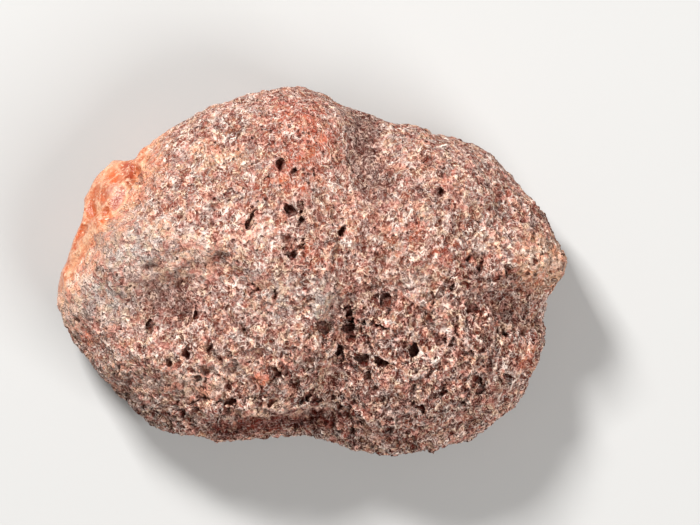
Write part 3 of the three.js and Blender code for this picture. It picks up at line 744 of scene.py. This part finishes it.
def rind_material():
    """Weathered, silica-crusted rind: matt and earthy, with crests painted paler, as pale crystal crust and as
    painted highlight, and pits painted darker, as painted shade with some dirt.

    The fibres, pit walls and crystal flecks of such a rind are 0.02 to 0.05 mm thick, too fine to show, so
    they are drawn about 0.1 mm thick. The small white flecks also stand for glints: painted highlights.
    The mottles, washes and clusters of pits have their real sizes.
    """
    material, tree = new_material("weathered_rind")
    place = object_place(tree)
    kept = {name: add(tree, "ShaderNodeAttribute", attribute_name=name).outputs["Fac"]
            for name in [*STAIN_TONES, "layered", "coarse", "edge", "fine_relief", "broad_relief"]}
    # Pit floors and cavities, which are painted darker as painted shade with some dirt, and crests, which are
    # painted paler as pale crust and painted highlight. The rind thins towards its broken edge, has less
    # pale crust where it is liver red, and is looser where it is coarse.
    floor = add(tree, "ShaderNodeMapRange", {0: kept["fine_relief"], 1: -0.02, 2: -0.12})
    crest = add(tree, "ShaderNodeMapRange", {0: kept["fine_relief"], 1: 0.01, 2: 0.09})
    cavity = add(tree, "ShaderNodeMapRange", {0: kept["broad_relief"], 1: -0.2, 2: -0.7})
    thin_crust = add(tree, "ShaderNodeMapRange", {0: kept["edge"], 1: -2.6, 2: 0.0})
    sound = add(tree, "ShaderNodeMapRange", {0: thin_crust, 3: 1.0, 4: 0.1})
    clean = add(tree, "ShaderNodeMapRange", {0: kept["liver"], 3: 1.0, 4: 0.35})
    loose = add(tree, "ShaderNodeMapRange", {0: kept["coarse"], 1: 0.3, 2: 0.95, 3: 0.2, 4: 1.0})

    # Mineral fibres, which lie flat where the rind is layered.
    bent = swayed(tree, place, size=0.7, amount=0.3, seed=1.0)
    drawn_out = add(tree, "ShaderNodeVectorMath", {0: bent, 1: (1.0, 0.65, 0.8)}, operation="MULTIPLY")
    flattened = add(tree, "ShaderNodeVectorMath", {0: place, 1: (0.25, 1.0, 1.0)}, operation="MULTIPLY")
    woven = add(tree, "ShaderNodeMix", {
        0: patches(tree, place, size=0.8, seed=8.0, start=0.47, end=0.53),
        2: strands(tree, bent, size=0.9, seed=2.0, turns=4.5),
        3: strands(tree, drawn_out, size=1.1, seed=10.0, turns=5.5)})
    lying = strands(tree, flattened, size=1.0, seed=29.0, turns=7.0)
    fibres = add(tree, "ShaderNodeMix", {0: kept["layered"], 2: woven, 3: lying})
    pale_fibres = add(tree, "ShaderNodeMapRange", {0: fibres, 1: 0.2, 2: 0.9})
    dark_fibres = add(tree, "ShaderNodeMapRange", {0: fibres, 1: -0.2, 2: -0.9})

    # Nets of thin rims around pits of three sizes, and small round holes among them.
    broad_rims, broad_pits = lace(tree, bent, size=1.3, seed=34.0, wall=0.022)
    long_rims, wide_pits = lace(tree, drawn_out, size=0.8, seed=7.0, wall=0.035)
    short_rims, small_pits = lace(tree, bent, size=0.6, seed=9.0, wall=0.055)
    cracks, _ = lace(tree, drawn_out, size=0.65, seed=5.0, wall=0.035)
    nets = add(tree, "ShaderNodeMath", {0: broad_rims, 1: long_rims}, operation="MAXIMUM")
    rims = add(tree, "ShaderNodeMath", {0: nets, 1: short_rims}, operation="MAXIMUM")
    curled = swayed(tree, place, size=0.3, amount=0.25, seed=19.0)
    clusters = patches(tree, place, size=2.4, seed=33.0, start=0.44, end=0.54)
    small_pores = pores(tree, curled, spacing=0.5, seed=4.0, fewest=0.6)
    large_pores = pores(tree, curled, spacing=0.8, seed=24.0, fewest=0.7)
    small_holes = add(tree, "ShaderNodeMath", {0: small_pores, 1: clusters}, operation="MULTIPLY")
    large_holes = add(tree, "ShaderNodeMath", {0: large_pores, 1: loose}, operation="MULTIPLY")
    holes = add(tree, "ShaderNodeMath", {0: small_holes, 1: large_holes}, operation="MAXIMUM")

    # Colour: stained mineral, darkened in the pits as painted shade, crusted with pale crystals, paler on its
    # crests and in white flecks as painted highlights, darkened in cracks, holes and cavities as painted shade
    # with some dirt, tinted in washes, and darkened in the hollows as painted shade.
    speckle = patches(tree, place, size=0.55, seed=3.0, start=0.42, end=0.58)
    half = patches(tree, place, size=0.7, seed=6.0, start=0.42, end=0.55)
    most = patches(tree, place, size=0.8, seed=35.0, start=0.4, end=0.52)
    # Small white flecks: crystals, and painted glints.
    flecks_and_glints = patches(tree, curled, size=0.22, seed=15.0, start=0.59, end=0.64)
    open_cracks = patches(tree, place, size=0.6, seed=8.0)
    mottles = [(tone, share, patches(tree, place, *patch)) for tone, share, *patch in MOTTLES]
    mottles.append(("#8f6f68", 0.15, kept["coarse"]))
    veils = []
    # Each stain, and the painted shade in the hollows, is mottled into the mineral and veiled over the crust.
    for stain, (tone, veil) in STAIN_TONES.items():
        uneven = add(tree, "ShaderNodeMath", {0: kept[stain], 1: 0.25}, operation="SUBTRACT")
        broken = add(tree, "ShaderNodeMath", {0: speckle, 1: 0.5, 2: uneven}, operation="MULTIPLY_ADD")
        mottles.append((tone, 1.5, broken, kept[stain]))
        veils.append((tone, veil, kept[stain]))
    mineral = coated(tree, "#d2aca0", [*mottles, ("#f0b490", 0.9, thin_crust, speckle)])
    # Painted shade: darker in the pits and between the fibres.
    shade = coated(tree, "#ffffff", [
        ("#b2897d", 0.8, broad_pits, sound),
        ("#ba8f81", 0.5, dark_fibres, sound),
        ("#7a4636", 0.5, small_pits, loose, sound),
        ("#5c2a1a", 0.85, wide_pits, loose, sound),
    ])
    ground = add(tree, "ShaderNodeMix", {0: 1.0, 6: mineral, 7: shade},
                 data_type="RGBA", blend_type="MULTIPLY")
    crusted = coated(tree, ground, [
        ("#eedbd0", 0.4, pale_fibres, clean),
        # Crests paler: pale crust, and a painted highlight.
        ("#fbe4d8", 0.6, crest, pale_fibres, clean),
        ("#fbe9e0", 0.35, short_rims, half, clean),
        ("#feefe4", 0.85, nets, most, clean),
        # white flecks: crystals, and painted glints
        ("#fff8f4", 0.6, flecks_and_glints, clean),
        *veils,
        ("#f2bb9c", 0.45, thin_crust),
        # Darker in cracks, holes, pit floors and cavities: painted shade, with some dirt.
        ("#4e1d10", 0.8, cracks, open_cracks, sound),
        ("#38130b", 0.9, holes, sound),
        ("#68200e", 0.55, floor),
        ("#4a1206", 0.45, cavity),
    ])
    washes = [(tone, share, patches(tree, place, *patch)) for tone, share, *patch in WASHES]
    # The hollow_shade mask darkens the hollows and the trough further here: painted shade.
    tint = coated(tree, "#fefaf6", [*washes, ("#bfa39b", 0.6, kept["hollow_shade"])])
    colour = add(tree, "ShaderNodeMix", {0: 1.0, 6: crusted, 7: tint},
                 data_type="RGBA", blend_type="MULTIPLY")

    # Finest relief: fibres and rims stand out, pits and holes are sunk.
    deep = add(tree, "ShaderNodeMath", {0: small_pits, 1: 0.4, 2: wide_pits}, operation="MULTIPLY_ADD")
    opened = add(tree, "ShaderNodeMath", {0: deep, 1: holes}, operation="MAXIMUM")
    ribbed = add(tree, "ShaderNodeMath", {0: fibres, 1: 0.2, 2: rims}, operation="MULTIPLY_ADD")
    raised = add(tree, "ShaderNodeMath", {0: opened, 1: -1.2, 2: ribbed}, operation="MULTIPLY_ADD")
    bump = add(tree, "ShaderNodeBump", {"Height": raised, "Distance": FIBRE_RELIEF, "Strength": 1.0})
    gloss = add(tree, "ShaderNodeMapRange", {0: pale_fibres, 3: 0.85, 4: 0.5})
    shader = add(tree, "ShaderNodeBsdfPrincipled", {
        "Base Color": colour, "Roughness": gloss, "Normal": bump, "Specular IOR Level": 0.12})
    add(tree, "ShaderNodeOutputMaterial", {"Surface": shader})
    return material


def chalcedony_material():
    """Freshly broken chalcedony: waxy, slightly see-through orange with cloudy pink and cream zones.

    The quartz crystals that line its hollows are about 0.1 mm across, too fine to show, so they are drawn
    0.4 mm apart.
    """
    material, tree = new_material("broken_chalcedony")
    place = object_place(tree)
    kept = {name: add(tree, "ShaderNodeAttribute", attribute_name=name).outputs["Fac"]
            for name in [*ZONE_TONES, "edge", "fine_relief"]}
    wisps = patches(tree, place, size=0.5, seed=21.0, start=0.35, end=0.65)
    uneven = add(tree, "ShaderNodeMapRange", {0: wisps, 3: 0.6, 4: 1.1})
    thin_crust = add(tree, "ShaderNodeMapRange", {0: kept["edge"], 1: 0.7, 2: 0.0})
    crest = add(tree, "ShaderNodeMapRange", {0: kept["fine_relief"], 1: 0.005, 2: 0.03})
    crystals = froth(tree, place, spacing=0.42, seed=25.0)
    rims = add(tree, "ShaderNodeMapRange", {0: crystals, 1: 0.25, 2: 0.02})
    clouds = patches(tree, place, size=1.6, seed=22.0, start=0.46, end=0.54)
    sparks = patches(tree, place, size=0.35, seed=23.0, start=0.6, end=0.64)
    coats = [
        ("#bd6f48", 0.7, clouds),
        ("#cb8a64", 0.3, wisps),
    ]
    coats += [(tone, 1.0, uneven, kept[zone]) for zone, tone in ZONE_TONES.items()]
    coats += [
        ("#d9a496", 0.5, rims, kept["mauve"]),
        # Crests paler: a painted highlight.
        ("#e6b896", 0.6, crest, wisps),
        ("#ecc6a8", 0.7, sparks),
        ("#e8b089", 0.8, thin_crust, wisps),
    ]
    colour = coated(tree, "#b0532c", coats)
    height = add(tree, "ShaderNodeMath", {0: crystals, 1: -0.8, 2: wisps}, operation="MULTIPLY_ADD")
    bump = add(tree, "ShaderNodeBump", {"Height": height, "Distance": CRYSTAL_RELIEF, "Strength": 0.8})
    shader = add(tree, "ShaderNodeBsdfPrincipled", {
        "Base Color": colour, "Roughness": 0.36, "Normal": bump, "IOR": 1.54,
        "Subsurface Weight": 0.1, "Subsurface Scale": 0.8 * MM, "Subsurface Radius": (1.0, 0.45, 0.25)})
    add(tree, "ShaderNodeOutputMaterial", {"Surface": shader})
    return material


def banding_material():
    """Sawn and polished agate: glassy, with bands of orange, cream and grey that follow the skin inwards.

    Real bands go down to a few hundredths of a millimetre. Those finer than about 0.1 mm are left out.
    """
    material, tree = new_material("polished_banding")
    place = object_place(tree)
    inset = add(tree, "ShaderNodeAttribute", attribute_name="inset").outputs["Fac"]
    drift = patches(tree, place, size=9.0, seed=31.0, start=0.2, end=0.8)
    depth = add(tree, "ShaderNodeMath", {0: drift, 1: 4.0, 2: inset}, operation="MULTIPLY_ADD")
    layers = {"W": depth, "Scale": 1.1, "Detail": 3.0, "Roughness": 0.65}
    beds = add(tree, "ShaderNodeTexNoise", layers, noise_dimensions="1D")
    creamy = add(tree, "ShaderNodeMapRange", {0: beds, 1: 0.35, 2: 0.65})
    core = add(tree, "ShaderNodeMapRange", {0: depth, 1: 7.0, 2: 15.0})
    under_skin = add(tree, "ShaderNodeMapRange", {0: inset, 1: 1.4, 2: 0.4})
    colour = coated(tree, "#c4552a", [
        ("#f1c7a0", 1.0, creamy),
        ("#cfc3bb", 0.75, core),
        ("#7c4a3a", 1.0, under_skin),
    ])
    shader = add(tree, "ShaderNodeBsdfPrincipled", {
        "Base Color": colour, "Roughness": 0.08, "IOR": 1.54, "Coat Weight": 0.3})
    add(tree, "ShaderNodeOutputMaterial", {"Surface": shader})
    return material


# ---------------------------------------------------------------- stone

RIND, BARED, SAWN = range(3)


def stone_mesh():
    """The whole stone, with its three finishes and the masks that they read."""
    finishes = [rind_material(), chalcedony_material(), banding_material()]
    mesh = skin_mesh(finishes[RIND])
    mesh.materials.clear()
    for finish in finishes:
        mesh.materials.append(finish)
    close_with_sawn_face(mesh)
    mesh.update()
    places = points(mesh)
    edge = beyond_edge(places)
    store(mesh, "edge", edge)
    store(mesh, "coarse", coarseness(places))
    for polygon in mesh.polygons:
        if all(edge[v] > 0 for v in polygon.vertices):
            polygon.material_index = BARED
    for name, rounds in RELIEF_ROUNDS.items():
        level = smoothed(places, edges(mesh), rounds)
        store(mesh, name, ((places - level) * normals(mesh)).sum(axis=1) / MM)
    off_ground = smoothstep(*CLEAN_SIDES, places[:, 2] / MM)
    for name, strokes in [*STAINS.items(), ("layered", LAYERED)]:
        stain = painted(ragged(places, *STAIN_SWAY), strokes, SOFT_END)
        store(mesh, name, stain * off_ground)
    for name, strokes in ZONES.items():
        store(mesh, name, painted(places, strokes, SHARP_END))
    mesh.shade_smooth()
    return mesh


stone = bpy.data.objects.new("agate_nodule", stone_mesh())
bpy.context.collection.objects.link(stone)
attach(stone, "root")
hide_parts("agate")


# ---------------------------------------------------------------- studio

FLOOR_RADIUS = 0.8
FLOOR_DROP = 0.02 * MM  # the floor lies this far under the sawn face, so that the two don't share a plane
AIM = (0.0, 0.0, 8.0 * MM)  # what the lamps point at
LAMPS = [  # name, place, width and watts
    ("key", (-0.20, 0.32, 0.38), 0.12, 4.35),
    ("fill", (0.30, -0.24, 0.36), 0.30, 2.5),
]
SKY = ("#cfcecd", 0.33)  # colour and strength

# The camera looks straight down on the widest part of the stone, at this height, through a long lens.
RIM_HEIGHT = 5.5 * MM
VIEW_CENTRE = (4.1 * MM, 0.92 * MM)
VIEW_WIDTH = 75.5 * MM
LENS = 400.0
SENSOR = 36.0
NEAREST = 0.01  # the camera shows nothing nearer than this


def plain(name, hex_colour, roughness):
    """A plain material of one colour."""
    material, tree = new_material(name)
    shader = add(tree, "ShaderNodeBsdfPrincipled", {"Base Color": linear(hex_colour), "Roughness": roughness})
    add(tree, "ShaderNodeOutputMaterial", {"Surface": shader})
    return material


def studio():
    """A plain pale floor, a soft key light from the back left, a weak fill, and an even sky."""
    bpy.ops.mesh.primitive_circle_add(
        vertices=64, radius=FLOOR_RADIUS, fill_type="NGON", location=(0, 0, -FLOOR_DROP))
    floor = bpy.context.object
    floor.name = "floor"
    floor.data.materials.append(plain("floor_paper", "#b8b7b5", 0.9))
    for name, place, size, watts in LAMPS:
        light = bpy.data.lights.new(name, "AREA")
        light.size = size
        light.energy = watts
        lamp = bpy.data.objects.new(name, light)
        lamp.location = place
        aim = mathutils.Vector(AIM) - mathutils.Vector(place)
        lamp.rotation_euler = aim.to_track_quat("-Z", "Y").to_euler()
        bpy.context.collection.objects.link(lamp)
    world = bpy.data.worlds.new("studio")
    world.use_nodes = True
    sky = world.node_tree.nodes["Background"]
    sky.inputs["Color"].default_value = linear(SKY[0])
    sky.inputs["Strength"].default_value = SKY[1]
    bpy.context.scene.world = world
    bpy.context.scene.view_settings.view_transform = "Standard"


def aim_camera():
    """A camera whose view is VIEW_WIDTH across at the height of the rim."""
    data = bpy.data.cameras.new("camera")
    data.lens = LENS
    data.sensor_width = SENSOR
    data.clip_start = NEAREST
    camera = bpy.data.objects.new("camera", data)
    camera.location = (*VIEW_CENTRE, RIM_HEIGHT + VIEW_WIDTH * LENS / SENSOR)
    bpy.context.collection.objects.link(camera)
    bpy.context.scene.camera = camera


studio()
aim_camera()
